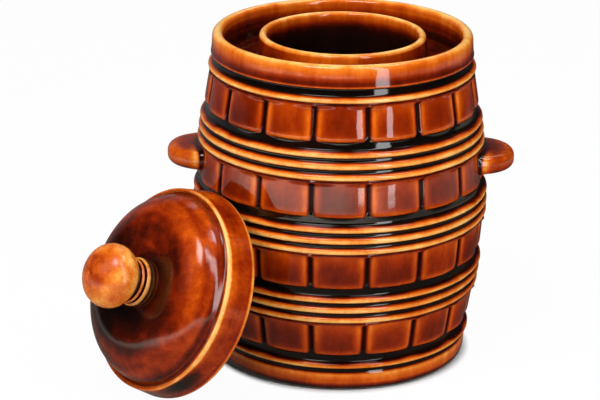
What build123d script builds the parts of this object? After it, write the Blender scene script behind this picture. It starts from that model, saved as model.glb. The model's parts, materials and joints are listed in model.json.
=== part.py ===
from build123d import *
from math import asin, cos, degrees, radians, sin, sqrt, tan
import os

# Water seal pickle crock in brown glazed stoneware, shaped like a hooped barrel, with its lid off.
# Millimetres, +Z up. The origin is the centre of the flat foot, and -Y faces the viewer.

# Barrel wall, radii at the crest of the hoops
belly_radius = 110.5
shoulder_radius = 99.3
foot_radius = 99.2
foot_corner_width = 9.2
swell_power = 1.65
wall = 6.6
floor_thickness = 10.0
floor_corner = 14.0
shoulder_corner = 16.0

# Bands of the relief, stacked from the ground up
foot_band_height = 15.0
upper_ring_height = 4.9
middle_ring_height = 5.3
lower_ring_height = 4.8
ring_groove_height = 3.1
ring_groove_depth = 2.7
ring_crown = 0.6
recess_height = 5.8
recess_depth = 4.4
row_height = 27.8
row_count = 4

# Staves, flat panels around the barrel
stave_count = 16
stave_setback = 1.9
stave_gap = 3.4
stave_groove_depth = 3.6
stave_core_depth = 5.2
stave_lower_round = 2.3
stave_upper_round = 1.1
stave_lower_draw = 2.2
stave_upper_draw = 1.0
stave_corner_draw = 1.4

# Rim that holds the seal water, and the neck inside it
rim_ring_height = 4.4
rim_groove_height = 5.9
rim_groove_depth = 3.6
rim_band_height = 16.7
rim_band_setback = 1.7
rim_foot_taper = 0.7
rim_lip_taper = 1.3
rim_thickness = 8.0
gutter_width = 24.0
gutter_depth = 28.0
gutter_corner = 7.0
gutter_floor_thickness = 8.0
neck_drop = 1.8
neck_thickness = 5.8
neck_root_flare = 2.5
neck_root_round = 5.0

# Lug handles, half ellipses in plan
lug_reach = 21.0
lug_half_width = 29.5
lug_thickness = 13.5
lug_edge_round = 5.2

# Lid, measured along its own axis from the edge of the skirt
lid_wall = 5.6
skirt_neck_clearance = 7.3
skirt_edge_round = 1.9
skirt_taper = 2.6
ridge_height = 23.2
ridge_round = 1.3
cove_width = 5.0
cove_drop = 0.9
dome_shoulder_width = 6.6
dome_shoulder_rise = 15.4
dome_crown_width = 19.0
dome_crown_rise = 9.0
knob_seat_drop = 1.2

# Knob, stacked on its seat on the dome
knob_neck_radius = 13.6
knob_bead_reach = 2.6
knob_bead_height = 2.6
collar_reach = 1.2
collar_height = 3.2
collar_groove_height = 1.4
collar_margin = 1.6
knob_band_crown = 0.5
knob_neck_height = 1.4
knob_radius = 23.4
knob_half_height = 18.3
knob_side_share = 0.82

# Where the lid leans, left of the front, its knob outward and a little up
lean_azimuth = 217.3
lean_rise = 24.5
lean_clearance = 0.3

# Pair of weighting stones on the floor of the crock
stone_thickness = 18.0
stone_gap = 1.6
stone_edge_bevel = 2.2
stone_notch_radius = 14.0
stone_wall_clearance = 2.5
stone_floor_clearance = 0.3

# Heights worked out from the stacked bands
hoop_height = upper_ring_height + middle_ring_height + lower_ring_height + 2 * ring_groove_height
row_pitch = row_height + recess_height + hoop_height
foot_ring_bottom = foot_band_height + ring_groove_height
foot_ring_top = foot_ring_bottom + upper_ring_height
row_bottoms = [foot_ring_top + recess_height + row * row_pitch for row in range(row_count)]
rows_top = row_bottoms[-1] + row_height
rim_ring_top = rows_top + rim_ring_height
rim_bottom = rim_ring_top + rim_groove_height
crock_height = rim_bottom + rim_band_height
foot_height = foot_ring_bottom + upper_ring_height / 2
shoulder_height = rows_top + rim_ring_height / 2
belly_hoop_bottom = row_bottoms[row_count // 2 - 1] + row_height
belly_height = belly_hoop_bottom + lower_ring_height + ring_groove_height + middle_ring_height / 2
gutter_floor = crock_height - gutter_depth
neck_top = crock_height - neck_drop
neck_root_height = gutter_floor - gutter_floor_thickness
lug_height = row_bottoms[row_count // 2] + row_height / 2

# Radii worked out from the wall, the rim and the neck
foot_flat_radius = foot_radius - foot_corner_width
rim_band_radius = shoulder_radius - rim_band_setback
rim_lip_radius = rim_band_radius - rim_lip_taper
rim_inner = rim_lip_radius - rim_thickness
neck_root_radius = rim_inner - gutter_width
neck_outer = neck_root_radius - neck_root_flare
neck_bore_radius = neck_outer - neck_thickness
wall_inset = stave_core_depth + wall

# Lid and knob, worked out from the neck outward and from the skirt's edge upward
skirt_inner = neck_root_radius + skirt_neck_clearance
skirt_radius = skirt_inner + lid_wall
ridge_radius = skirt_radius - skirt_taper
cove_radius = ridge_radius - cove_width
dome_shoulder_radius = cove_radius - dome_shoulder_width
dome_shoulder_height = ridge_height + dome_shoulder_rise
dome_crown_radius = dome_shoulder_radius - dome_crown_width
dome_height = dome_shoulder_height + dome_crown_rise
knob_bead_radius = knob_neck_radius + knob_bead_reach
collar_radius = knob_bead_radius + collar_reach
knob_seat_radius = collar_radius + collar_margin
knob_seat_height = dome_height - knob_seat_drop


def barrel_radius(height):
    """Radius of the barrel at the crest of its hoops, at a height."""
    if height > belly_height:
        reach_share = (height - belly_height) / (shoulder_height - belly_height)
        return belly_radius - (belly_radius - shoulder_radius) * reach_share**swell_power
    reach_share = (belly_height - height) / (belly_height - foot_height)
    return belly_radius - (belly_radius - foot_radius) * reach_share**swell_power


def set_in(height, depth):
    """Point of the barrel's outline at a height, a depth under the crest."""
    return (barrel_radius(height) - depth, height)


def draw_ring(start, bottom, top, floor_depth):
    """Draw a crowned ring from the end of the last line, and return where it ends."""
    middle = (bottom + top) / 2
    Polyline(start, set_in(bottom, floor_depth), set_in(bottom, ring_crown))
    ThreePointArc(set_in(bottom, ring_crown), set_in(middle, 0), set_in(top, ring_crown))
    Line(set_in(top, ring_crown), set_in(top, floor_depth))
    return set_in(top, floor_depth)


def draw_stave_outline(height, draw_in, narrowing):
    """Draw the closed outline of one level of a stave row: flat panels with V grooves between."""
    pitch_angle = 360 / stave_count
    panel_reach = barrel_radius(height) - stave_setback - draw_in
    half_width = panel_reach * tan(radians(pitch_angle / 2)) - stave_gap / 2 - narrowing
    groove_reach = barrel_radius(height) - stave_groove_depth - draw_in / 2
    corners = []
    for index in range(stave_count):
        angle = index * pitch_angle
        corners.append(Vector(panel_reach, -half_width).rotate(Axis.Z, angle))
        corners.append(Vector(panel_reach, half_width).rotate(Axis.Z, angle))
        corners.append(Vector(groove_reach, 0).rotate(Axis.Z, angle + pitch_angle / 2))
    Polyline(*corners, close=True)


# Crock: one fired shell with hoops, staves, gutter and neck
with BuildPart() as crock:
    with BuildSketch(Plane.XZ):
        with BuildLine():
            foot_edge = set_in(foot_band_height, ring_crown)
            foot_round = (foot_radius, foot_band_height / 2)
            Line((0, 0), (foot_flat_radius, 0))
            Spline((foot_flat_radius, 0), foot_round, foot_edge, tangents=[(1, 0), (0, 1)])
            corner = set_in(foot_band_height, ring_groove_depth)
            Line(foot_edge, corner)
            corner = draw_ring(corner, foot_ring_bottom, foot_ring_top, ring_groove_depth)
            for row_bottom in row_bottoms:
                row_top = row_bottom + row_height
                recess = set_in(row_bottom - recess_height, recess_depth)
                core_bottom = set_in(row_bottom, recess_depth)
                core_top = set_in(row_top, stave_core_depth)
                Polyline(corner, recess, core_bottom, set_in(row_bottom, stave_core_depth), core_top)
                corner = core_top
                if row_top < rows_top:
                    ring_bottom = row_top
                    for ring_height in (lower_ring_height, middle_ring_height, upper_ring_height):
                        ring_top = ring_bottom + ring_height
                        corner = draw_ring(corner, ring_bottom, ring_top, ring_groove_depth)
                        ring_bottom = ring_top + ring_groove_height
            corner = draw_ring(corner, rows_top, rim_ring_top, rim_groove_depth)
            rim_round = rim_thickness / 2
            rim_crest = (rim_lip_radius - rim_round, crock_height)
            rim_foot = (rim_band_radius - rim_foot_taper, rim_bottom)
            rim_shoulder = (rim_lip_radius, crock_height - rim_round)
            Polyline(corner, (rim_band_radius - rim_groove_depth, rim_bottom), rim_foot)
            ThreePointArc(rim_foot, (rim_band_radius, rim_bottom + rim_band_height / 3), rim_shoulder)
            RadiusArc(rim_shoulder, rim_crest, -rim_round)
            Polyline(rim_crest, (0, crock_height), (0, 0))
        make_face()
    revolve(axis=Axis.Z)

    for row_bottom in row_bottoms:
        row_top = row_bottom + row_height
        levels = (
            (row_bottom, stave_lower_draw, stave_corner_draw),
            (row_bottom + stave_lower_round, 0, 0),
            (row_top - stave_upper_round, 0, 0),
            (row_top, stave_upper_draw, 0),
        )
        for height, draw_in, narrowing in levels:
            with BuildSketch(Plane.XY.offset(height)):
                with BuildLine():
                    draw_stave_outline(height, draw_in, narrowing)
                make_face()
        loft(ruled=True)

    # Everything open to the air, in one outline: the inside, the mouth and the gutter round it
    with BuildSketch(Plane.XZ):
        with BuildLine():
            ceiling = neck_root_height
            wall_foot = floor_thickness + floor_corner
            wall_top = ceiling - shoulder_corner
            wall_bottom_point = set_in(wall_foot, wall_inset)
            wall_top_point = set_in(wall_top, wall_inset)
            floor_edge = (wall_bottom_point[0] - floor_corner, floor_thickness)
            shoulder_edge = (wall_top_point[0] - shoulder_corner, ceiling)
            mouth_edge = (neck_bore_radius + neck_root_round, ceiling)
            mouth_bottom = (neck_bore_radius, ceiling + neck_root_round)
            neck_round = neck_thickness / 2
            neck_inside = (neck_bore_radius, neck_top - neck_round)
            neck_crest = (neck_bore_radius + neck_round, neck_top)
            neck_outside = (neck_outer, neck_top - neck_round)
            neck_root = (neck_root_radius, gutter_floor + gutter_corner)
            gutter_inner_edge = (neck_root_radius + gutter_corner, gutter_floor)
            gutter_outer_edge = (rim_inner - gutter_corner, gutter_floor)
            gutter_wall_foot = (rim_inner, gutter_floor + gutter_corner)
            gutter_wall_top = (rim_inner, crock_height - rim_round)
            Line((0, floor_thickness), floor_edge)
            TangentArc(floor_edge, wall_bottom_point, tangent=(1, 0))
            ThreePointArc(wall_bottom_point, set_in(belly_height, wall_inset), wall_top_point)
            RadiusArc(wall_top_point, shoulder_edge, -shoulder_corner)
            Line(shoulder_edge, mouth_edge)
            RadiusArc(mouth_edge, mouth_bottom, neck_root_round)
            Line(mouth_bottom, neck_inside)
            ThreePointArc(neck_inside, neck_crest, neck_outside)
            Line(neck_outside, neck_root)
            RadiusArc(neck_root, gutter_inner_edge, -gutter_corner)
            Line(gutter_inner_edge, gutter_outer_edge)
            RadiusArc(gutter_outer_edge, gutter_wall_foot, -gutter_corner)
            Line(gutter_wall_foot, gutter_wall_top)
            RadiusArc(gutter_wall_top, rim_crest, rim_round)
            Polyline(rim_crest, (0, crock_height), (0, floor_thickness))
        make_face()
    revolve(axis=Axis.Z, mode=Mode.SUBTRACT)

# Lug handles: thick half-elliptic tabs, each cut to the wall that it is luted to
lug_tip_radius = barrel_radius(lug_height) + lug_reach
lug_root_radius = barrel_radius(lug_height) - stave_core_depth - wall / 2
lug_handles = []
for side, side_name in ((-1, "left"), (1, "right")):
    with BuildPart() as lug_handle:
        with BuildSketch(Plane.XY.offset(lug_height - lug_thickness / 2)):
            with Locations((side * lug_root_radius, 0)):
                Ellipse(lug_tip_radius - lug_root_radius, lug_half_width)
            with Locations((side * (lug_root_radius - lug_tip_radius / 2), 0)):
                Rectangle(lug_tip_radius, 3 * lug_half_width, mode=Mode.SUBTRACT)
        extrude(amount=lug_thickness)
        outer_edges = lug_handle.edges().filter_by(Plane.XY).filter_by(GeomType.LINE, reverse=True)
        fillet(outer_edges, lug_edge_round)
        add(crock.part, mode=Mode.SUBTRACT)
    lug_handle.part.label = f"lug_handle_{side_name}"
    lug_handles.append(lug_handle.part)

# Leaning place of the lid: its skirt stands on the ground and rests against the barrel
rise = radians(lean_rise)
edge_reach = skirt_radius - skirt_edge_round
lid_centre_height = edge_reach * cos(rise) + skirt_edge_round * (1 - sin(rise)) + lean_clearance
contact_height = lid_centre_height + edge_reach * cos(rise) + skirt_edge_round * sin(rise)
contact_radius = barrel_radius(contact_height) - stave_setback / 2 + lean_clearance
lid_distance = contact_radius + edge_reach * sin(rise) + skirt_edge_round * (1 - cos(rise))
lid_axis = Vector(cos(rise), 0, sin(rise)).rotate(Axis.Z, lean_azimuth)
lid_across = Vector(0, 1, 0).rotate(Axis.Z, lean_azimuth)
lid_centre = Vector(lid_distance, 0, lid_centre_height).rotate(Axis.Z, lean_azimuth)
lid_section = Plane(origin=lid_centre, x_dir=lid_across, z_dir=lid_across.cross(lid_axis))
lid_turning_axis = Axis(lid_centre, lid_axis)

# Lid: hollow dome with a ridge and a skirt
with BuildPart() as lid:
    with BuildSketch(lid_section):
        with BuildLine():
            ridge_outer = (ridge_radius, ridge_height - ridge_round)
            ridge_inner = (ridge_radius - 2 * ridge_round, ridge_height - cove_drop)
            cove_top = (cove_radius, ridge_height + (ridge_radius - cove_radius) / 2)
            dome_shoulder = (dome_shoulder_radius, dome_shoulder_height)
            dome_crown = (dome_crown_radius, dome_height)
            ceiling_corner = (ridge_radius - lid_wall - cove_drop, ridge_height - lid_wall / 2)
            ceiling_shoulder = (dome_shoulder_radius - lid_wall, dome_shoulder_height - lid_wall)
            ceiling_height = dome_height - lid_wall
            ThreePointArc(
                (skirt_radius - 2 * skirt_edge_round, 0),
                (skirt_radius - skirt_edge_round / 3, skirt_edge_round / 3),
                (skirt_radius, 2 * skirt_edge_round),
            )
            Line((skirt_radius, 2 * skirt_edge_round), ridge_outer)
            ThreePointArc(ridge_outer, (ridge_radius - ridge_round, ridge_height), ridge_inner)
            Spline(
                ridge_inner,
                cove_top,
                dome_shoulder,
                dome_crown,
                (knob_seat_radius, knob_seat_height),
            )
            Polyline(
                (knob_seat_radius, knob_seat_height),
                (0, knob_seat_height),
                (0, ceiling_height),
                (knob_seat_radius, ceiling_height),
            )
            Spline((knob_seat_radius, ceiling_height), ceiling_shoulder, ceiling_corner)
            Polyline(ceiling_corner, (skirt_inner, 0), (skirt_radius - 2 * skirt_edge_round, 0))
        make_face()
    revolve(axis=lid_turning_axis)
lid.part.label = "lid"

# Knob: flattened ball over a bead and a collar
with BuildPart() as lid_knob:
    with BuildSketch(lid_section):
        with BuildLine():
            collar_top = knob_seat_height + collar_height
            collar_edge = collar_radius - knob_band_crown
            bead_bottom = collar_top + collar_groove_height
            bead_top = bead_bottom + knob_bead_height
            bead_edge = knob_bead_radius - knob_band_crown
            side_round = knob_half_height * knob_side_share
            side_centre = knob_radius - side_round
            flatness = knob_half_height - side_round
            cap_drop = (side_centre**2 - flatness**2) / (2 * flatness)
            cap_radius = knob_half_height + cap_drop
            meeting_share = side_centre / (cap_radius - side_round)
            meeting_radius = cap_radius * meeting_share
            meeting_rise = cap_radius * sqrt(1 - meeting_share**2) - cap_drop
            neck_rise = sqrt(cap_radius**2 - knob_neck_radius**2) - cap_drop
            neck_top_height = bead_top + knob_neck_height
            ball_height = neck_top_height + neck_rise
            knob_top_height = ball_height + knob_half_height
            Polyline((0, knob_seat_height), (collar_edge, knob_seat_height))
            ThreePointArc(
                (collar_edge, knob_seat_height),
                (collar_radius, knob_seat_height + collar_height / 2),
                (collar_edge, collar_top),
            )
            Polyline(
                (collar_edge, collar_top),
                (knob_neck_radius, collar_top),
                (knob_neck_radius, bead_bottom),
                (bead_edge, bead_bottom),
            )
            ThreePointArc(
                (bead_edge, bead_bottom),
                (knob_bead_radius, (bead_bottom + bead_top) / 2),
                (bead_edge, bead_top),
            )
            Polyline(
                (bead_edge, bead_top),
                (knob_neck_radius, bead_top),
                (knob_neck_radius, neck_top_height),
            )
            lower_cap = JernArc(
                (knob_neck_radius, neck_top_height),
                (neck_rise + cap_drop, knob_neck_radius),
                cap_radius,
                degrees(asin(meeting_share) - asin(knob_neck_radius / cap_radius)),
            )
            ThreePointArc(
                lower_cap @ 1,
                (knob_radius, ball_height),
                (meeting_radius, ball_height + meeting_rise),
            )
            RadiusArc((meeting_radius, ball_height + meeting_rise), (0, knob_top_height), -cap_radius)
            Line((0, knob_top_height), (0, knob_seat_height))
        make_face()
    revolve(axis=lid_turning_axis)
lid_knob.part.label = "lid_knob"

# Weighting stones: two half-moons with a finger notch in the straight edge
stone_radius = floor_edge[0] - stone_wall_clearance
weight_stones = []
for side, side_name in ((-1, "left"), (1, "right")):
    with BuildPart() as weight_stone:
        with BuildSketch(Plane.XY.offset(floor_thickness + stone_floor_clearance)):
            Circle(stone_radius)
            with Locations((side * (stone_gap - stone_radius) / 2, 0)):
                Rectangle(stone_radius, 2 * stone_radius, mode=Mode.SUBTRACT)
            Circle(stone_notch_radius, mode=Mode.SUBTRACT)
            with Locations((-side * stone_radius, 0)):
                Rectangle(2 * stone_radius, 2 * stone_radius, mode=Mode.SUBTRACT)
        extrude(amount=stone_thickness)
        chamfer(weight_stone.edges().filter_by(Plane.XY), stone_edge_bevel)
    weight_stone.part.label = f"weight_stone_{side_name}"
    weight_stones.append(weight_stone.part)

crock.part.label = "crock"
os.makedirs("parts", exist_ok=True)
for piece in [crock.part, *lug_handles, lid.part, lid_knob.part, *weight_stones]:
    export_step(piece, f"parts/{piece.label}.step")
print(f"height {crock_height:.1f}, belly radius {belly_radius:.1f}, stone radius {stone_radius:.1f}")
print("centre of the leaning skirt's edge", lid_centre, "and its axis", lid_axis)
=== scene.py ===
import json
from math import asin, cos, degrees, radians, sin, tan

import bpy
import numpy as np
from mathutils import Matrix, Vector


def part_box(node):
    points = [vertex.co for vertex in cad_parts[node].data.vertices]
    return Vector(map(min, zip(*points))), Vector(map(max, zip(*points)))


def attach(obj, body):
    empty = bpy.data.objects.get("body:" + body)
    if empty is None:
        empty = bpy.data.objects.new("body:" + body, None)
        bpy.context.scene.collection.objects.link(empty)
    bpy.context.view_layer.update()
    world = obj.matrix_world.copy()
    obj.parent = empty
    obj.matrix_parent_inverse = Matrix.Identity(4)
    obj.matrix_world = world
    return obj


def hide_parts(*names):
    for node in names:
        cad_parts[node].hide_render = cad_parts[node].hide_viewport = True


# Water seal pickle crock in brown glazed stoneware, its lid leaning at the left of its front.
# Profiles are in millimetres, as in the model's own drawing, and meshes are written in metres.
MM = 0.001

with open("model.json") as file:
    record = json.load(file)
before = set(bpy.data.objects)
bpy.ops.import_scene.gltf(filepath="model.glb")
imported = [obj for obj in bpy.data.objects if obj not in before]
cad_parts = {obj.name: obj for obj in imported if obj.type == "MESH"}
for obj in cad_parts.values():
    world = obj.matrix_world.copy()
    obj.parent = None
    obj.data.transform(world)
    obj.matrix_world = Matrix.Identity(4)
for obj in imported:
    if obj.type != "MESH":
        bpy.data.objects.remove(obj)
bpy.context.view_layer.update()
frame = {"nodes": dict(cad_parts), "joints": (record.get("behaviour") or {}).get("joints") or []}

# Barrel wall, radii at the crest of the hoops
belly_radius = 110.5
shoulder_radius = 99.3
foot_radius = 99.2
foot_flat_radius = 90.0
foot_round_share = 0.6
foot_round_power = 2.4
swell_power = 1.65
wall = 6.6
floor_thickness = 10.0
floor_corner = 14.0
shoulder_corner = 16.0

# Bands of the relief, stacked from the ground up
foot_band_height = 15.0
upper_ring_height = 4.9
middle_ring_height = 5.3
lower_ring_height = 4.8
ring_groove_height = 3.1
ring_groove_depth = 2.7
ring_roundness = 2.3
recess_height = 5.8
recess_depth = 4.4
row_height = 27.8
row_count = 4

# Staves
stave_count = 16
stave_setback = 1.9
stave_gap = 3.4
stave_core_depth = 5.2
stave_pillow_drop = 4.7
stave_pillow_power = 2.0
stave_notch_depth = 0.6
stave_notch_width = 2.0
stave_edge_round = 3.2
stave_edge_drop = 2.3
stave_corner_round = 2.5
stave_lip_height = 1.7
stave_lip_run = 2.6
joint_floor_clearance = 0.2
joint_floor_slope = 1.6

# Rim, gutter and neck
rim_ring_height = 4.4
rim_groove_height = 5.9
rim_groove_depth = 3.6
rim_band_height = 16.7
rim_band_radius = 97.6
rim_lip_radius = 96.3
rim_edge_round = 1.4
rim_edge_drop = 1.1
rim_swell = 0.3
rim_thickness = 8.0
gutter_depth = 28.0
gutter_corner = 7.0
gutter_floor_thickness = 8.0
neck_drop = 1.8
neck_bore_radius = 56.0
neck_thickness = 5.8
neck_root_radius = 64.3
neck_root_round = 5.0

# Heights worked out from the stacked bands
hoop_height = upper_ring_height + middle_ring_height + lower_ring_height + 2 * ring_groove_height
row_pitch = row_height + recess_height + hoop_height
foot_ring_bottom = foot_band_height + ring_groove_height
foot_ring_top = foot_ring_bottom + upper_ring_height
row_bottoms = [foot_ring_top + recess_height + row * row_pitch for row in range(row_count)]
rows_top = row_bottoms[-1] + row_height
rim_ring_top = rows_top + rim_ring_height
rim_bottom = rim_ring_top + rim_groove_height
crock_height = rim_bottom + rim_band_height
foot_height = foot_ring_bottom + upper_ring_height / 2
shoulder_height = rows_top + rim_ring_height / 2
lower_ring_pitch = lower_ring_height + ring_groove_height
middle_ring_pitch = middle_ring_height + ring_groove_height
belly_hoop_bottom = row_bottoms[1] + row_height
belly_height = belly_hoop_bottom + lower_ring_height + ring_groove_height + middle_ring_height / 2
gutter_floor = crock_height - gutter_depth
neck_top = crock_height - neck_drop
neck_root_height = gutter_floor - gutter_floor_thickness

# Pooled glaze of the crock: 0 is thin and amber, 1 thick and black. Rows of staves are listed from the
# ground up, and a drip is how far the dark glaze over a ring runs down its middle, in millimetres.
row_pools = (0.52, 0.52, 0.50, 0.46)
# Painted light: how much each row's panels are lightened just under their top, from the ground up
row_glows = (0.15, 0.16, 0.06, 0.04)
stave_foot_extra = 0.06
stave_border_thinning = 0.27
stave_border_width = 4.0
stave_tint_spread = 0.035
stave_lip_pool = 0.62
stave_seam_pool = 0.92
joint_pool = 0.93
recess_pool = 0.98
groove_pool = 0.97
crest_pool = 0.03
foot_pool = 0.13
rim_pool = 0.255
rim_edge_pool = 0.24
rim_seam_pool = 0.9
upper_ring_drip = 0.5
foot_ring_drip = 0.7
gutter_pool = 0.68
gutter_inner_pool = 0.60
neck_foot_pool = 0.56
neck_collar_pool = 0.26
inside_pool = 0.92
# Painted shade that darkens the rim's inner wall and the neck at the crock's left and right sides
rim_side_shade = 0.16
neck_side_shade = 0.30
brush_strength = 0.008
rim_cloud_strength = 0.035
wall_cloud_strength = 0.028

# Lid, as radii and heights over the plane of its skirt's edge
lid_crown_height = 46.4
lid_crown_edge = (19.5, 46.5)
lid_dome_edge = (69.8, 25.2)
lid_dome_middle = ((30, 47.2), (44, 47.0), (55, 43.6), (63, 38.0), (68.0, 30.0))
lid_dome_points = (lid_crown_edge, *lid_dome_middle, lid_dome_edge)
lid_cove_points = (lid_dome_edge, (70.6, 22.9), (71.6, 22.0), (72.3, 22.3))
lid_bead_centre = (73.4, 22.0)
lid_bead_half_width = 1.2
lid_bead_half_height = 1.35
lid_skirt_top = (74.6, 22.0)
lid_skirt_foot = (77.2, 4.5)
lid_edge_centre = (75.2, 3.8)
lid_edge_round = 2.0
lid_edge_inner_reach = 3.6
lid_hollow_edge = (71.6, 2.4)
lid_hollow_points = ((68.3, 19.5), (66.0, 24.5), (57.4, 33.0), (44, 39.0), (30, 41.5), (19, 42.0))
lid_hollow_height = 42.0
lid_dome_foot = 24.5
lid_columns = 256

# Where painted shade darkens the leaning lid most, in degrees round its own axis
lid_dome_dark_turn = 222
lid_edge_dark_turn = 262
lid_ridge_dark_turn = 185

# Runs of dark glaze down the lid's skirt: turn and width in degrees, and depth
lid_runs = ((66, 13, 0.28), (313, 12, 0.5))

# Knob, in the lid's frame
knob_seat_height = 46.0
knob_seat_radius = 17.0
knob_bead_centre = (16.2, 47.9)
knob_bead_half_width = 1.6
knob_bead_half_height = 1.7
knob_waist_points = ((16.2, 49.6), (14.4, 50.2), (13.9, 50.8))
knob_collar_centre = (14.6, 52.2)
knob_collar_half_width = 1.9
knob_collar_half_height = 1.35
knob_throat_points = ((14.6, 53.6), (13.8, 54.1), (13.9, 55.2))
knob_throat_radius = 13.9
knob_radius = 23.4
knob_half_height = 18.3
knob_side_round = 15.0
knob_centre_height = 69.7
knob_columns = 160

# Lug handles
lug_edge_round = 5.4
lug_root_depth = 8.0
lug_plan_power = 0.94
lug_crown = 0.5
lug_flare = 0.10
lug_flare_reach = 2.6

# How finely the wall is drawn
map_step = 0.1
map_columns = 66
columns_per_half_stave = 15
column_crowding = 1.7
wall_rows = 340


def barrel_radius(height):
    """Radius of the barrel at the crest of its hoops, at one height or an array of them."""
    height = np.asarray(height, float)
    above = np.clip((height - belly_height) / (shoulder_height - belly_height), 0, None)
    below = np.clip((belly_height - height) / (belly_height - foot_height), 0, None)
    rise = (belly_radius - shoulder_radius) * above**swell_power
    fall = (belly_radius - foot_radius) * below**swell_power
    return belly_radius - rise - fall


def smooth(value, low, high):
    """Smooth step from 0 at low to 1 at high."""
    share = np.clip((value - low) / (high - low), 0, 1)
    return share * share * (3 - 2 * share)


def toward(value, target, share):
    """Value moved a share of the way to a target."""
    return value + (target - value) * share


def rounding(distance, reach):
    """Fall of a quarter round, from 1 at its edge to 0 once the distance is past its reach."""
    share = np.clip(1 - distance / reach, 0, 1)
    return 1 - np.sqrt(1 - share**2)


def blur(image, axis, width):
    """Gaussian blur of an array along one axis, width in samples, edges held."""
    reach = max(1, int(3 * width))
    taps = np.arange(-reach, reach + 1)
    weights = np.exp(-0.5 * (taps / width) ** 2)
    weights /= weights.sum()
    pad = [(0, 0), (0, 0)]
    pad[axis] = (reach, reach)
    padded = np.pad(image, pad, mode="edge")
    size = image.shape[axis]
    total = np.zeros_like(image)
    for tap, weight in zip(range(2 * reach + 1), weights):
        total += weight * np.take(padded, range(tap, tap + size), axis=axis)
    return total


def brushed(seed, rows, columns, across, along):
    """Seeded grid of unit deviation, smoothed over some rows and, round the ring, over some columns."""
    grid = np.random.default_rng(seed).normal(size=(rows, columns))
    grid = blur(np.tile(grid, 3), 1, along)[:, columns : 2 * columns]
    grid = blur(grid, 0, across)
    return grid / grid.std()


def ring_depth(height, bottom, top, floor_depth):
    """Depth of a rounded ring under the crest, from its groove up over the ring and down again."""
    middle, half = (bottom + top) / 2, (top - bottom) / 2
    share = np.clip(np.abs(height - middle) / half, 0, 1)
    return floor_depth * (1 - (1 - share**ring_roundness) ** (1 / ring_roundness))


def stave_surface(height, angle, row_bottom):
    """Radius of a stave row, and the distances from its joint, over its foot and under its top."""
    crest = barrel_radius(height)
    panel = crest - stave_setback
    across = panel * np.tan(angle)
    half_width = panel * tan(radians(180 / stave_count))
    from_joint = half_width - across
    edge = from_joint - stave_gap / 2
    up = height - row_bottom
    down = row_height - up
    corner_reach = np.clip(stave_corner_round - edge, 0, stave_corner_round)
    inside = up - stave_corner_round + np.sqrt(stave_corner_round**2 - corner_reach**2)

    under_lip = smooth(down, stave_lip_height, stave_lip_height + stave_lip_run)
    pillow = stave_pillow_drop * (across / half_width) ** stave_pillow_power
    notch = stave_notch_depth * (1 - smooth(from_joint, 0, stave_notch_width))
    foot = stave_edge_drop * rounding(inside, stave_edge_round)
    lip = stave_lip_height * rounding(down, stave_lip_height)
    surface = panel / np.cos(angle) - (pillow + notch) * under_lip - foot - lip
    joint_floor = recess_depth + joint_floor_clearance + joint_floor_slope * smooth(up, 2, 7)
    surface = np.maximum(surface, crest - joint_floor)
    radius = toward(surface, crest - recess_depth, smooth(-inside, 0, 0.8))
    return radius, edge, inside, down


def stave_glaze(edge, inside, down, row_pool, top_glow):
    """Pooled glaze of a stave row, thin at panel edges and black between, with painted light under its
    top, and the painted shade on the joints' gloss.
    """
    up = row_height - down
    near_edge = np.minimum(edge, inside * 1.35)
    border = np.exp(-((np.clip(near_edge - 1.4, 0, None) / stave_border_width) ** 2))
    middle = row_pool + stave_foot_extra * (1 - smooth(up / row_height, 0.15, 0.9))
    pool = middle - stave_border_thinning * border * (0.45 + 0.55 * smooth(down, 1, 9))
    # painted light: the panel is lightened just under its top
    pool -= top_glow * np.exp(-((down / 8) ** 2))
    under_lip = smooth(down, 1.4, 2.6)
    pool = toward(pool, joint_pool, (1 - smooth(edge, -1.6, 2.2)) * under_lip)
    pool = toward(pool, recess_pool, 1 - smooth(inside, -1.2, 1.0))
    pool = toward(pool, stave_lip_pool, 1 - smooth(down, 1.3, 2.4))
    pool = toward(pool, stave_seam_pool, 1 - smooth(down, 0.1, 0.7))
    # painted shade on the gloss: the clear coat is taken off the joints so that they mirror less
    dull = (1 - smooth(edge, -0.4, 1.8)) * under_lip * smooth(inside, 0, 2)
    return pool, dull


def ring_pool(height, bottom, top):
    """Pooled glaze over a ring: thin and yellow low on it, orange above, dark at both grooves."""
    share = (height - bottom) / (top - bottom)
    pool = crest_pool + 0.22 * smooth(share, 0.50, 0.92) + 0.5 * smooth(share, 0.90, 1.10)
    pool += 0.06 * (1 - smooth(height, 20, 150))
    return pool + 0.75 * (1 - smooth(share, -0.08, 0.12))


def foot_band(high):
    """Radius and pooled glaze of the foot band, rounded in to the flat foot, with painted shade toward
    the ground.
    """
    share = np.clip(1 - high / (foot_band_height * foot_round_share), 0, 1)
    reach = barrel_radius(foot_band_height) - foot_flat_radius
    foot = foot_flat_radius + reach * np.sqrt(1 - share**foot_round_power)
    crown = ring_depth(high, -foot_band_height, foot_band_height, ring_groove_depth)
    crowned = barrel_radius(high) - crown * (high > foot_band_height / 2)
    # painted shade: the band darkens toward the ground, most under the rounding of the foot
    pool = foot_pool + 0.17 * (1 - smooth(high, 8, 13)) + 0.5 * (1 - smooth(high, 2.5, 7.0))
    return np.minimum(foot, crowned), pool + 0.6 * smooth(high, 13.4, 15.2)


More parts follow.
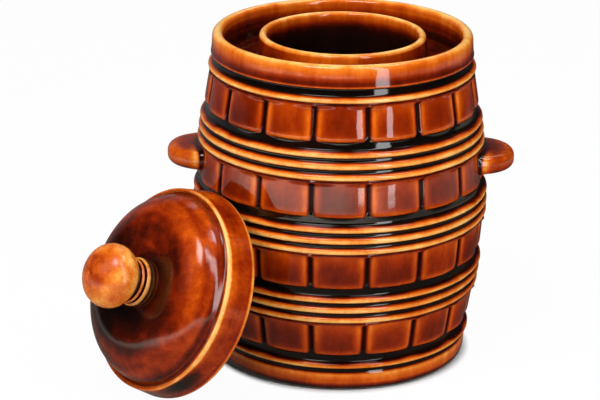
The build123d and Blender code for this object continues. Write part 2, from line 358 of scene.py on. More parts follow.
def rim_band(high):
    """Radius and pooled glaze of the rim band: it leans in, with a light edge over its groove, where
    thin glaze is lightened further as a painted highlight.
    """
    rise = high - rim_bottom
    share = rise / (rim_band_height - rim_thickness / 2)
    radius = rim_band_radius - (rim_band_radius - rim_lip_radius) * share
    radius -= rim_edge_drop * rounding(rise, rim_edge_round)
    radius += rim_swell * ((1 - smooth(rise, 1.2, 2.2)) - (1 - smooth(rise, 6, 12)))
    pool = rim_pool + 0.38 * (1 - smooth(rise, 2.6, 10.5)) - 0.07 * smooth(rise, 11.5, 13.0)
    # thin glaze on the lower edge, lightened further as a painted highlight
    pool = toward(pool, rim_edge_pool, 1 - smooth(rise, 1.2, 2.2))
    pool = toward(pool, rim_seam_pool, 1 - smooth(rise, -0.2, 0.3))
    return radius, pool


def melt(image, along_height, along_angle):
    """Blur of a wall map in samples, mirrored at the middle of the panel and at its joint."""
    mirrored = np.concatenate([image[:, :0:-1], image, image[:, -2::-1]], axis=1)
    melted = blur(blur(mirrored, 0, along_height), 1, along_angle)
    return melted[:, map_columns - 1 : 2 * map_columns - 1]


def wall_map():
    """Radius, pooled glaze and painted gloss shade of the outer wall over height and half a stave."""
    heights = np.arange(0, crock_height - rim_thickness / 2 + map_step / 2, map_step)
    angles = np.linspace(0, radians(180 / stave_count), map_columns)
    high, side = np.meshgrid(heights, angles, indexing="ij")
    radius = barrel_radius(high) - ring_groove_depth
    pool = np.full_like(radius, groove_pool)
    dull = np.zeros_like(radius)

    def lay(where, new_radius, new_pool=None):
        radius[where] = new_radius[where]
        if new_pool is not None:
            pool[where] = new_pool[where]

    def add_ring(bottom, top, floor_depth, drip=0.0):
        where = (high >= bottom) & (high <= top)
        lowered = drip * (1 - smooth(side / angles[-1], 0.3, 0.95))
        crown = barrel_radius(high) - ring_depth(high, bottom, top, floor_depth)
        lay(where, crown, ring_pool(high, bottom, top - lowered))

    lay(high < foot_band_height, *foot_band(high))
    add_ring(foot_ring_bottom, foot_ring_top, ring_groove_depth, foot_ring_drip)
    for row_bottom, row_pool, top_glow in zip(row_bottoms, row_pools, row_glows):
        row_top = row_bottom + row_height
        recess = (high > row_bottom - recess_height) & (high < row_bottom)
        row = (high >= row_bottom) & (high < row_top)
        lay(recess, barrel_radius(high) - recess_depth)
        stave_radius, edge, inside, down = stave_surface(high, side, row_bottom)
        stave_pool, stave_dull = stave_glaze(edge, inside, down, row_pool, top_glow)
        lay(row, stave_radius, stave_pool)
        dull[row] = stave_dull[row]
        if row_top < rows_top:
            middle_bottom = row_top + lower_ring_pitch
            upper_bottom = middle_bottom + middle_ring_pitch
            upper_top = upper_bottom + upper_ring_height
            add_ring(row_top, row_top + lower_ring_height, ring_groove_depth)
            add_ring(middle_bottom, middle_bottom + middle_ring_height, ring_groove_depth)
            add_ring(upper_bottom, upper_top, ring_groove_depth, upper_ring_drip)
    lay((high > rows_top) & (high < rim_bottom), barrel_radius(high) - rim_groove_depth)
    add_ring(rows_top, rim_ring_top, rim_groove_depth)
    lay(high >= rim_bottom, *rim_band(high))
    return heights, angles, melt(radius, 4.0, 1.2), melt(pool, 3.0, 1.5), dull


def pick_heights(heights, radius, count):
    """Heights where the wall is drawn, closer together where the relief is steep."""
    slopes = np.gradient(radius, heights, axis=0)
    slope = np.abs(slopes).max(axis=1)
    bend = np.abs(np.gradient(slopes, heights, axis=0)).max(axis=1)
    weight = 0.35 + np.minimum(slope, 3) + 0.6 * np.minimum(bend, 3)
    weight = blur(weight[:, None], 0, 4)[:, 0]
    along = np.concatenate([[0], np.cumsum((weight[1:] + weight[:-1]) / 2)])
    return np.interp(np.linspace(0, along[-1], count), along, heights)


def arc(centre, half_width, half_height, first, last, count):
    """Points of an elliptic arc round a centre, between two angles in degrees, without the first."""
    turns = np.radians(np.linspace(first, last, count + 1)[1:])
    return [(centre[0] + half_width * cos(t), centre[1] + half_height * sin(t)) for t in turns]


def line(start, end, count):
    """Points of a straight run, without the first."""
    shares = np.linspace(0, 1, count + 1)[1:]
    return [(start[0] + (end[0] - start[0]) * s, start[1] + (end[1] - start[1]) * s) for s in shares]


def curve_through(points, count):
    """Points of a smooth curve through a few chosen ones (Catmull-Rom), without the first."""
    points = np.array(points, float)
    padded = np.vstack([2 * points[0] - points[1], points, 2 * points[-1] - points[-2]])
    result = []
    for share in np.linspace(0, len(points) - 1, count)[1:]:
        index = min(int(share), len(points) - 2)
        t = share - index
        a, b, c, d = padded[index : index + 4]
        square = 2 * a - 5 * b + 4 * c - d
        cube = 3 * b - a - 3 * c + d
        result.append(tuple(0.5 * (2 * b + (c - a) * t + square * t**2 + cube * t**3)))
    return result


def mesh_object(name, points, faces, attributes, smooth_shade=True):
    """Mesh object at the origin from points in metres, with float attributes on its points."""
    mesh = bpy.data.meshes.new(name)
    mesh.from_pydata(points, [], faces)
    for key, values in attributes.items():
        layer = mesh.attributes.new(key, "FLOAT", "POINT")
        layer.data.foreach_set("value", np.asarray(values, np.float32))
    mesh.polygons.foreach_set("use_smooth", [smooth_shade] * len(mesh.polygons))
    mesh.update()
    thing = bpy.data.objects.new(name, mesh)
    bpy.context.scene.collection.objects.link(thing)
    return thing


def grid_faces(row_total, column_total, first_pole, last_pole):
    """Quads of a closed band of rows, with a fan to a pole vertex at each end."""
    faces = []
    for row in range(row_total - 1):
        here, above = row * column_total, (row + 1) * column_total
        for column in range(column_total):
            after = (column + 1) % column_total
            faces.append((here + column, here + after, above + after, above + column))
    last = (row_total - 1) * column_total
    for column in range(column_total):
        after = (column + 1) % column_total
        faces.append((first_pole, after, column))
        faces.append((last_pole, last + column, last + after))
    return faces


def turned_points(radius, height, turns):
    """Points of rows turned round Z, from radii and heights in millimetres."""
    x = radius * np.cos(turns)
    y = radius * np.sin(turns)
    return np.stack([x, y, height], axis=-1).reshape(-1, 3)


def crock_columns():
    """Azimuths of the wall's columns, closer together at the grooves between staves."""
    half = radians(180 / stave_count)
    shares = np.linspace(0, 1, columns_per_half_stave + 1) ** column_crowding
    offsets = np.concatenate([half * shares, 2 * half - half * shares[::-1][1:]])[:-1]
    turns = []
    for index in range(stave_count):
        turns.extend(offsets + (2 * index - 1) * half)
    return np.array(turns)


def lip_pools(count, inward):
    """Pooled glaze over a rounded lip, thinnest near its crest and thicker again inward."""
    share = np.linspace(0, 1, count)
    return 0.18 - 0.13 * smooth(share, 0, 0.35) + inward * smooth(share, 0.5, 1.0)


def inner_profile():
    """Rows of radius, height, pooled glaze and painted side shade, from the rim's lip to the floor
    inside.
    """
    rows = []

    def add(points, pools, shades=0.0):
        pools = np.broadcast_to(pools, len(points))
        shades = np.broadcast_to(shades, len(points))
        rows.extend((*point, pool, shade) for point, pool, shade in zip(points, pools, shades))
        return points[-1]

    rim_round = rim_thickness / 2
    rim_inner = rim_lip_radius - rim_thickness
    lip_centre = (rim_lip_radius - rim_round, crock_height - rim_round)
    last = add(arc(lip_centre, rim_round, rim_round, 0, 180, 14), lip_pools(14, 0.24))
    corner_height = gutter_floor + gutter_corner
    wall_pools = (0.30, 0.38, 0.48, 0.58, 0.52, 0.64, 0.72, 0.76)
    add(line(last, (rim_inner, corner_height), 8), wall_pools, [0] + [rim_side_shade] * 7)
    corner = (rim_inner - gutter_corner, corner_height)
    last = add(arc(corner, gutter_corner, gutter_corner, 0, -90, 8), gutter_pool)
    neck_foot = neck_root_radius + gutter_corner
    add(line(last, (neck_foot, gutter_floor), 3), gutter_inner_pool)

    neck_round = neck_thickness / 2
    neck_outer = (neck_bore_radius + neck_thickness, neck_top - neck_round)
    neck_pools = np.linspace(neck_foot_pool, neck_collar_pool, 12)
    corner = (neck_foot, corner_height)
    root = arc(corner, gutter_corner, gutter_corner, -90, -180, 8)
    add(root[:4], gutter_inner_pool)
    last = add(root[4:], neck_pools[:4], neck_side_shade)
    add(line(last, neck_outer, 8), neck_pools[4:], neck_side_shade)
    lip_centre = (neck_bore_radius + neck_round, neck_outer[1])
    last = add(arc(lip_centre, neck_round, neck_round, 0, 180, 12), lip_pools(12, 0.22))
    bore_foot = neck_root_height + neck_root_round
    bore_pools = (0.36, 0.56, 0.74, 0.84, 0.88, 0.9, 0.92, 0.92, 0.92, 0.92)
    add(line(last, (neck_bore_radius, bore_foot), 10), bore_pools)
    corner = (neck_bore_radius + neck_root_round, bore_foot)
    last = add(arc(corner, neck_root_round, neck_root_round, 180, 270, 6), inside_pool)

    inset = stave_core_depth + wall
    shoulder_foot = neck_root_height - shoulder_corner
    shoulder_start = barrel_radius(shoulder_foot) - inset - shoulder_corner
    add(line(last, (shoulder_start, neck_root_height), 4), inside_pool)
    corner = (shoulder_start, shoulder_foot)
    add(arc(corner, shoulder_corner, shoulder_corner, 90, 0, 8), inside_pool)
    floor_top = floor_thickness + floor_corner
    heights = np.linspace(shoulder_foot, floor_top, 30)[1:]
    last = add([(barrel_radius(height) - inset, height) for height in heights], inside_pool)
    corner = (last[0] - floor_corner, floor_top)
    last = add(arc(corner, floor_corner, floor_corner, 0, -90, 8), inside_pool)
    add(line(last, (floor_corner, floor_thickness), 6), inside_pool)
    return np.array(rows, float)


def sample(image, rows, columns):
    """Values of an image at fractional rows and columns, one for each pair of them."""
    low_row = np.clip(rows.astype(int), 0, image.shape[0] - 2)
    low_column = np.clip(columns.astype(int), 0, image.shape[1] - 2)
    row_share = (rows - low_row)[:, None]
    column_share = (columns - low_column)[None, :]

    def across(row):
        left, right = image[row][:, low_column], image[row][:, low_column + 1]
        return left * (1 - column_share) + right * column_share

    return across(low_row) * (1 - row_share) + across(low_row + 1) * row_share


def stave_tints(rows, turns):
    """Small differences in glaze from stave to stave, one for each panel, over the wall's grid."""
    generator = np.random.default_rng(7)
    half = radians(180 / stave_count)
    stave_index = np.floor((turns + half) / (2 * half)).astype(int) % stave_count
    total = np.zeros((len(rows), len(turns)))
    for bottom in row_bottoms:
        tint = generator.normal(0, stave_tint_spread, stave_count)[stave_index]
        reach = smooth(rows, bottom, bottom + 3) * (1 - smooth(rows, bottom + 25, bottom + 28))
        total += reach[:, None] * tint[None, :]
    return total


def make_crock():
    """Crock: the relief wall, the rim, the gutter, the neck and the inside, as one closed mesh."""
    heights, angles, *maps = wall_map()
    turns = crock_columns()
    half = radians(180 / stave_count)
    from_centre = np.abs((turns + half) % (2 * half) - half)
    rows = pick_heights(heights, maps[0], wall_rows)
    row_places = np.interp(rows, heights, np.arange(len(heights)))
    column_places = np.interp(from_centre, angles, np.arange(map_columns))
    radius, pool, dull = (sample(image, row_places, column_places) for image in maps)
    pool += stave_tints(rows, turns)

    inner_radius, inner_height, inner_pool, side_shade = inner_profile().T[:, :, None]
    everywhere = np.ones((1, len(turns)))
    sides = (np.cos(turns) ** 2)[None, :]
    radius = np.vstack([radius, inner_radius * everywhere])
    height = np.vstack([rows[:, None], inner_height]) * everywhere
    # painted shade: the inner wall and the neck are darker at the left and right sides
    pool = np.vstack([pool, inner_pool + side_shade * sides])
    dull = np.vstack([dull, np.zeros((len(inner_radius), len(turns)))])
    cloud_strength = np.where(height > rim_bottom, rim_cloud_strength, wall_cloud_strength)
    pool += brushed(3, len(height), len(turns), 5.0, 0.8) * brush_strength
    pool += brushed(4, len(height), len(turns), 9.0, 7.0) * cloud_strength

    poles = [[0, 0, 0], [0, 0, floor_thickness]]
    points = np.vstack([turned_points(radius, height, turns), poles]) * MM
    pools = np.concatenate([pool.ravel(), [0.5, 0.6]])
    dulls = np.concatenate([dull.ravel(), [0, 0]])
    faces = grid_faces(len(height), len(turns), len(points) - 2, len(points) - 1)
    values = {"pool": np.clip(pools, 0, 1), "dull": dulls}
    return mesh_object("crock_glazed", points.tolist(), faces, values)


def lathe(name, profile, pools, columns, place, tint):
    """Closed turned mesh from a profile of (radius, height) in millimetres, from axis to axis."""
    turns = np.linspace(0, 2 * np.pi, columns, endpoint=False)
    inner = profile[1:-1]
    height = np.repeat(inner[:, 1:], columns, axis=1)
    poles = [[0, 0, profile[0][1]], [0, 0, profile[-1][1]]]
    points = np.vstack([turned_points(inner[:, :1], height, turns), poles]) * MM
    grid = np.repeat(pools[1:-1, None], columns, axis=1) + tint(inner[:, :1], inner[:, 1:], turns)
    values = np.concatenate([grid.ravel(), [pools[0], pools[-1]]])
    faces = grid_faces(len(inner), columns, len(points) - 2, len(points) - 1)
    placed = [place @ Vector(point) for point in points.tolist()]
    return mesh_object(name, placed, faces, {"pool": np.clip(values, 0, 1)})


def lid_place():
    """Matrix from the lid's own frame, origin at the centre of its skirt's edge and +Z to the knob."""
    joint = next(j for j in frame["joints"] if j["child"] == "lid")
    up = Vector(joint["axis"]).normalized()
    side = Vector((0, 0, 1)).cross(up).normalized()
    over = up.cross(side)
    corners = np.array([v.co for v in frame["nodes"]["lid"].data.vertices])
    spans = [corners @ np.array(direction) for direction in (side, over, up)]
    origin = side * float(spans[0].max() + spans[0].min()) / 2
    origin += over * float(spans[1].max() + spans[1].min()) / 2
    origin += up * float(spans[2].min())
    place = Matrix((side, over, up)).transposed().to_4x4()
    place.translation = origin
    return place


def lid_pools(radius, height):
    """Pooled glaze of the lid's outside: dark round the knob and in the cove, thin on the ridge."""
    dome = 0.67 - 0.16 * smooth(radius, 46, 60) + 0.16 * smooth(radius, 66.5, 69.5)
    dome += 0.12 * (1 - smooth(radius, 24, 46))
    cove, ridge, edge = 0.62, 0.22, 0.16
    skirt = 0.39 + 0.10 * smooth(-height, -12, -4) - 0.18 * smooth(height, 19.6, 21.6)
    on_dome = height > lid_dome_foot
    in_cove = (radius < 72.0) & (height > 21)
    on_ridge = height > 21.5
    on_skirt = height > 4
    return np.select([on_dome, in_cove, on_ridge, on_skirt], [dome, cove, ridge, skirt], edge)


def lid_tint(radius, height, turns):
    """Brush marks round the lid, dark glaze runs down its skirt, and painted shade that darkens it away
    from its right edge.
    """
    marks = 0.045 * brushed(5, len(radius), len(turns), 1.2, 10.0)
    broad = 0.05 * brushed(6, len(radius), len(turns), 6.0, 16.0)
    on_dome = (height > lid_dome_foot) * smooth(radius, 17, 30)
    on_edge = (height < lid_dome_foot) * (radius > 70.5)
    on_ridge = on_edge * smooth(height, 19.6, 21.6)
    on_skirt = on_edge * (height < 21) * smooth(height, 5, 13)
    # painted shade: dome, edge and ridge darken toward one side of the leaning lid, lightest at its
    # right
    gathered = 0.10 * np.cos(turns - radians(lid_dome_dark_turn)) * on_dome
    gathered = gathered + 0.07 * np.cos(turns - radians(lid_edge_dark_turn)) * on_edge
    gathered = gathered + 0.17 * np.cos(turns - radians(lid_ridge_dark_turn)) * on_ridge
    for turn, width, depth in lid_runs:
        off = (np.degrees(turns) - turn + 180) % 360 - 180
        gathered = gathered + depth * np.exp(-((off / width) ** 2)) * on_skirt
    return (marks + broad) * (on_dome + 0.7 * on_edge) + gathered


def make_lid(place):
    """Lid: dome, cove, bead on the ridge and skirt, and the hollow underneath."""
    outer = [(radius, lid_crown_height) for radius in (0.0, 8, 17.0)]
    outer += [lid_crown_edge] + curve_through(lid_dome_points, 40)
    outer += curve_through(lid_cove_points, 8)
    outer += arc(lid_bead_centre, lid_bead_half_width, lid_bead_half_height, 165, 0, 8)
    outer += line(lid_skirt_top, lid_skirt_foot, 16)
    outer += arc(lid_edge_centre, lid_edge_round, lid_edge_centre[1], 0, -90, 8)
    inner_edge = (lid_edge_centre[0], lid_edge_round)
    outer += arc(inner_edge, lid_edge_inner_reach, lid_edge_round, -90, -175, 5)
    inner = [lid_hollow_edge] + line(lid_hollow_edge, lid_hollow_points[0], 10)
    inner += curve_through(lid_hollow_points, 24)
    inner += [(8, lid_hollow_height), (0.0, lid_hollow_height)]
    outer, inner = np.array(outer), np.array(inner)
    pools = np.concatenate([lid_pools(outer[:, 0], outer[:, 1]), np.full(len(inner), 0.8)])
    return lathe("lid_glazed", np.vstack([outer, inner]), pools, lid_columns, place, lid_tint)


def knob_pools(radius, height):
    """Pooled glaze of the knob: thin on bead and collar, black between, darker at the ball's pole."""
    pole_spot = 0.10 * (1 - smooth(radius, 1.0, 5.0)) + 0.17 * (1 - smooth(radius, 7, 21))
    throat = 0.28 * (1 - smooth(height, 54.5, 61))
    ball = 0.15 + throat + pole_spot * (height > knob_centre_height)
    bead, groove, collar = 0.08, 0.85, 0.16
    in_groove = (height < 51.2) | ((height > 53.4) & (height < 55.2))
    return np.select([height < 49.6, in_groove, height < 53.4], [bead, groove, collar], ball)


def knob_tint(radius, height, turns):
    """Faint brush marks round the ball."""
    return 0.035 * brushed(9, len(radius), len(turns), 2.0, 7.0) * (height > 56)


def make_knob(place):
    """Knob: a flattened ball, its caps flatter than its side, over a collar and a bead."""
    profile = [(0.0, knob_seat_height), (knob_seat_radius, knob_seat_height)]
    profile += arc(knob_bead_centre, knob_bead_half_width, knob_bead_half_height, -70, 90, 8)
    profile += curve_through(knob_waist_points, 5)
    profile += arc(knob_collar_centre, knob_collar_half_width, knob_collar_half_height, -80, 90, 8)
    profile += curve_through(knob_throat_points, 5)

    side_centre = knob_radius - knob_side_round
    flatness = knob_half_height - knob_side_round
    cap_drop = (side_centre**2 - flatness**2) / (2 * flatness)
    cap_radius = knob_half_height + cap_drop
    start = asin(knob_throat_radius / cap_radius)
    stop = asin(side_centre / (cap_radius - knob_side_round))
    for turn in np.linspace(start, stop, 8)[1:]:
        profile.append((cap_radius * sin(turn), knob_centre_height - cap_radius * cos(turn) + cap_drop))
    rounded = 90 - degrees(stop)
    centre = (side_centre, knob_centre_height)
    profile += arc(centre, knob_side_round, knob_side_round, -rounded, rounded, 24)
    for turn in np.linspace(stop, 0, 14)[1:]:
        profile.append((cap_radius * sin(turn), knob_centre_height + cap_radius * cos(turn) - cap_drop))
    profile = np.array(profile)
    pools = knob_pools(profile[:, 0], profile[:, 1])
    return lathe("lid_knob_glazed", profile, pools, knob_columns, place, knob_tint)


def lug_rings(half_thick):
    """Rings over a lug from top to bottom: share of the plan, inset, height, whether on a flat face."""
    straight = half_thick - lug_edge_round
    rings = []
    for share in np.linspace(0, 1, 8)[:-1]:
        rings.append((share, lug_edge_round, half_thick + lug_crown * (1 - share**2), True))
    for turn in np.radians(np.linspace(90, -90, 17)):
        rise = lug_edge_round * sin(turn)
        rings.append((1.0, lug_edge_round * (1 - cos(turn)), rise + straight * np.sign(rise), False))
    for share in np.linspace(1, 0, 8)[1:]:
        rings.append((share, lug_edge_round, -half_thick, True))
    return rings


def lug_pool(share, on_face, lift, gap, front):
    """Pooled glaze of a lug: brown on flat faces, amber round the edge, black close to the wall."""
    face = 0.60 - 0.22 * share**4 if on_face else 0.33 + 0.25 * float(smooth(-lift, 1, 6))
    pool = face - front * 0.24 * float(np.exp(-((gap - 4) / 3.2) ** 2))
    return toward(pool, stave_seam_pool, 1 - float(smooth(gap, 0.6, 3.6 - 1.6 * front)))


def make_lug(side, name):
    """Lug handle: a flat tab, full in plan, with rounded edges, set into the wall."""
    low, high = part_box(name)
    tip = max(abs(low.x), abs(high.x)) / MM
    half_width = (high.y - low.y) / 2 / MM
    middle = (low.z + high.z) / 2 / MM
    half_thick = (high.z - low.z) / 2 / MM
    wall_face = float(barrel_radius(middle)) - stave_setback
    root = wall_face - lug_root_depth
    turns = np.radians(np.linspace(-90, 90, 97))
    plan_x = (tip - root) * np.cos(turns) ** lug_plan_power
    plan_y = half_width * np.sign(turns) * np.abs(np.sin(turns)) ** lug_plan_power
    along_x, along_y = np.gradient(plan_x), np.gradient(plan_y)
    length = np.hypot(along_x, along_y)
    normal_x, normal_y = along_y / length, -along_x / length
    rings = lug_rings(half_thick)
    points, pools = [], []
    for share, inset, lift, on_face in rings:
        for x, y, nx, ny in zip(plan_x, plan_y, normal_x, normal_y):
            out = max(0.0, x - nx * inset) * share
            across = (y - ny * inset) * share
            wall_here = float(np.sqrt(max(0.0, wall_face**2 - across**2)))
            gap = max(0.0, root + out - wall_here)
            flare = 1 + lug_flare * float(np.exp(-gap / lug_flare_reach))
            front = float(smooth(-across, 4, 16))
            points.append((side * (root + out) * MM, across * MM, (middle + lift * flare) * MM))
            pools.append(lug_pool(share, on_face, lift, gap, front))
    columns = len(turns)
    faces = []
    for row in range(len(rings) - 1):
        for column in range(columns - 1):
            a = row * columns + column
            quad = (a, a + 1, a + 1 + columns, a + columns)
            faces.append(quad if side > 0 else quad[::-1])
    return mesh_object(f"{name}_glazed", points, faces, {"pool": np.clip(pools, 0, 1)})


def new_material(name):
    """Empty node material with its nodes and links."""
    material = bpy.data.materials.new(name)
    material.use_nodes = True
    material.node_tree.nodes.clear()
    return material, material.node_tree.nodes, material.node_tree.links


def principled_material(name):
    """Node material with a Principled shader on its output, and its object coordinates."""
    material, nodes, links = new_material(name)
    output = nodes.new("ShaderNodeOutputMaterial")
    shader = nodes.new("ShaderNodeBsdfPrincipled")
    links.new(shader.outputs["BSDF"], output.inputs["Surface"])
    coordinates = nodes.new("ShaderNodeTexCoord").outputs["Object"]
    return material, nodes, links, shader, coordinates


def ramp(nodes, links, value, stops):
    """Colour from (place, colour) stops at a value."""
    node = nodes.new("ShaderNodeValToRGB")
    elements = node.color_ramp.elements
    while len(elements) < len(stops):
        elements.new(0.5)
    for element, (place, colour) in zip(elements, stops):
        element.position = place
        element.color = (*colour, 1)
    links.new(value, node.inputs["Fac"])
    return node.outputs["Color"]


def noise(nodes, links, coordinates, scale, detail, stretch=(1, 1, 1), rough=0.55):
    """Noise over object coordinates in metres, features about 1 / scale metres wide."""
    mapping = nodes.new("ShaderNodeMapping")
    mapping.inputs["Scale"].default_value = stretch
    links.new(coordinates, mapping.inputs["Vector"])
    node = nodes.new("ShaderNodeTexNoise")
    node.inputs["Scale"].default_value = scale
    node.inputs["Detail"].default_value = detail
    node.inputs["Roughness"].default_value = rough
    links.new(mapping.outputs["Vector"], node.inputs["Vector"])
    return node.outputs["Fac"]


def math_node(nodes, links, operation, first, second):
    """Result of a math node over sockets or numbers."""
    node = nodes.new("ShaderNodeMath")
    node.operation = operation
    for socket, value in zip(node.inputs, (first, second)):
        if isinstance(value, (int, float)):
            socket.default_value = value
        else:
            links.new(value, socket)
    return node.outputs[0]


def map_range(nodes, links, value, from_range, to_range=(0.0, 1.0), interpolation="LINEAR"):
    """Value mapped from one range to another, held at both ends."""
    node = nodes.new("ShaderNodeMapRange")
    node.interpolation_type = interpolation
    node.inputs["From Min"].default_value = from_range[0]
    node.inputs["From Max"].default_value = from_range[1]
    node.inputs["To Min"].default_value = to_range[0]
    node.inputs["To Max"].default_value = to_range[1]
    links.new(value, node.inputs["Value"])
    return node.outputs["Result"]


def vector_value(nodes, links, operation, vector, other=(0, 0, 0)):
    """Value of a vector math node: a length, or a dot product with another vector."""
    node = nodes.new("ShaderNodeVectorMath")
    node.operation = operation
    node.inputs[1].default_value = other
    links.new(vector, node.inputs[0])
    return node.outputs["Value"]


def mix_shaders(nodes, links, share, first, second):
    """Mix of two shaders by a share."""
    node = nodes.new("ShaderNodeMixShader")
    links.new(share, node.inputs[0])
    links.new(first, node.inputs[1])
    links.new(second, node.inputs[2])
    return node.outputs[0]


def mix_colours(nodes, links, share, first, second):
    """Mix of a colour socket with a colour by a share."""
    node = nodes.new("ShaderNodeMixRGB")
    links.new(share, node.inputs["Fac"])
    links.new(first, node.inputs["Color1"])
    node.inputs["Color2"].default_value = (*second, 1)
    return node.outputs["Color"]


def bump_normal(nodes, links, height, strength, distance):
    """Normal from a height over the surface, distance in metres."""
    node = nodes.new("ShaderNodeBump")
    node.inputs["Strength"].default_value = strength
    node.inputs["Distance"].default_value = distance
    links.new(height, node.inputs["Height"])
    return node.outputs["Normal"]


def attribute(nodes, name):
    """Float attribute of the mesh."""
    node = nodes.new("ShaderNodeAttribute")
    node.attribute_name = name
    return node.outputs["Fac"]


# Colour of the glaze, from thin to pooled
glaze_stops = (
    (0.00, (0.96, 0.55, 0.17)),
    (0.07, (0.92, 0.40, 0.075)),
    (0.15, (0.80, 0.21, 0.020)),
    (0.25, (0.64, 0.105, 0.004)),
    (0.36, (0.42, 0.047, 0.0020)),
    (0.46, (0.28, 0.0225, 0.0012)),
    (0.57, (0.155, 0.0105, 0.0010)),
    (0.70, (0.055, 0.0042, 0.0009)),
    (0.84, (0.014, 0.0026, 0.0012)),
    (1.00, (0.004, 0.0026, 0.0018)),
)
glaze_base_roughness = (0.30, 0.42)
glaze_coat_ior = 1.5
# Share of the clear coat that the painted gloss shade takes off the stave joints
joint_dulling = 0.85


def glaze_material(name, mottle, streak_stretch, coat_roughness):
    """Translucent brown glaze: amber where thin, near black where it pools, under a clear gloss."""
    material, nodes, links, shader, coordinates = principled_material(name)
    cloud = noise(nodes, links, coordinates, 38, 3)
    blotch = noise(nodes, links, coordinates, 120, 4, streak_stretch, 0.6)
    grain = noise(nodes, links, coordinates, 520, 3, streak_stretch, 0.6)
    total = attribute(nodes, "pool")
    for texture, strength in ((cloud, 0.22), (blotch, 0.20), (grain, 0.10)):
        centred = math_node(nodes, links, "SUBTRACT", texture, 0.5)
        scaled = math_node(nodes, links, "MULTIPLY", centred, strength * mottle)
        total = math_node(nodes, links, "ADD", total, scaled)
    links.new(ramp(nodes, links, total, glaze_stops), shader.inputs["Base Color"])
    roughness = map_range(nodes, links, blotch, (0.0, 1.0), glaze_base_roughness)
    links.new(roughness, shader.inputs["Roughness"])
    shader.inputs["Specular IOR Level"].default_value = 0.0
    # painted shade: the coat is weakened where the joints are marked, so that they mirror less
    dulled = math_node(nodes, links, "MULTIPLY", attribute(nodes, "dull"), joint_dulling)
    links.new(math_node(nodes, links, "SUBTRACT", 1.0, dulled), shader.inputs["Coat Weight"])
    shader.inputs["Coat Roughness"].default_value = coat_roughness
    shader.inputs["Coat IOR"].default_value = glaze_coat_ior
    ripple = noise(nodes, links, coordinates, 55, 1)
    peel = math_node(nodes, links, "MULTIPLY", noise(nodes, links, coordinates, 300, 2), 0.10)
    normal = bump_normal(nodes, links, math_node(nodes, links, "ADD", ripple, peel), 0.5, 0.0006)
    links.new(normal, shader.inputs["Normal"])
    links.new(normal, shader.inputs["Coat Normal"])
    return material


def stoneware_material():
    """Raw fired clay: pale, matt and speckled."""
    material, nodes, links, shader, coordinates = principled_material("raw_stoneware_look")
    cloud = noise(nodes, links, coordinates, 60, 4)
    speck = noise(nodes, links, coordinates, 900, 2)
    clay = ramp(nodes, links, cloud, ((0.3, (0.46, 0.34, 0.22)), (0.7, (0.66, 0.53, 0.39))))
    specks = ramp(nodes, links, speck, ((0.62, (0, 0, 0)), (0.70, (1, 1, 1))))
    colour = mix_colours(nodes, links, specks, clay, (0.20, 0.12, 0.07))
    links.new(colour, shader.inputs["Base Color"])
    shader.inputs["Roughness"].default_value = 0.85
    links.new(bump_normal(nodes, links, speck, 0.4, 0.0004), shader.inputs["Normal"])
    return material


# Studio as the glaze mirrors it: a dark floor with a pale band across it, brighter to the left of the
# viewer and dark behind the crock. Lengths are in metres from the crock's axis.
backdrop_direction = (-0.35, 0.94, 0)
window_direction = (-1.0, -0.3, 0)
mirrored_floor_reach = 2.0
mirrored_floor_stops = (
    (0.00, (0.06, 0.055, 0.045)),
    (0.21, (0.07, 0.065, 0.055)),
    (0.32, (0.60, 0.55, 0.46)),
    (0.56, (0.75, 0.70, 0.60)),
    (0.70, (0.06, 0.055, 0.05)),
    (1.00, (0.01, 0.01, 0.01)),
)
mirrored_floor_behind = (0.05, 0.05, 0.05)
floor_half_size = 3.0
floor_paint = (0.85, 0.85, 0.85, 1)
contact_shadow_reach = (0.0965, 0.1015)
floor_white_share = 0.97
room_colour = (0.80, 0.80, 0.82, 1)
room_strength = 0.25


def mirrored_share(nodes, links, path):
    """1 for rays that a gloss or glass sends out, 0 for the others."""
    glossy, through = path.outputs["Is Glossy Ray"], path.outputs["Is Transmission Ray"]
    return math_node(nodes, links, "MAXIMUM", glossy, through)


def mirrored_floor(nodes, links, coordinates, distance):
    """Emission of the studio floor as the glaze mirrors it."""
    reach = math_node(nodes, links, "DIVIDE", distance, mirrored_floor_reach)
    band = ramp(nodes, links, reach, mirrored_floor_stops)
    behind = vector_value(nodes, links, "DOT_PRODUCT", coordinates, backdrop_direction)
    far = map_range(nodes, links, behind, (-0.10, 0.45))
    leftward = vector_value(nodes, links, "DOT_PRODUCT", coordinates, window_direction)
    strength = map_range(nodes, links, leftward, (-0.30, 0.25), (0.9, 3.2))
    emission = nodes.new("ShaderNodeEmission")
    colour = mix_colours(nodes, links, far, band, mirrored_floor_behind)
    links.new(colour, emission.inputs["Color"])
    links.new(strength, emission.inputs["Strength"])
    return emission.outputs[0]


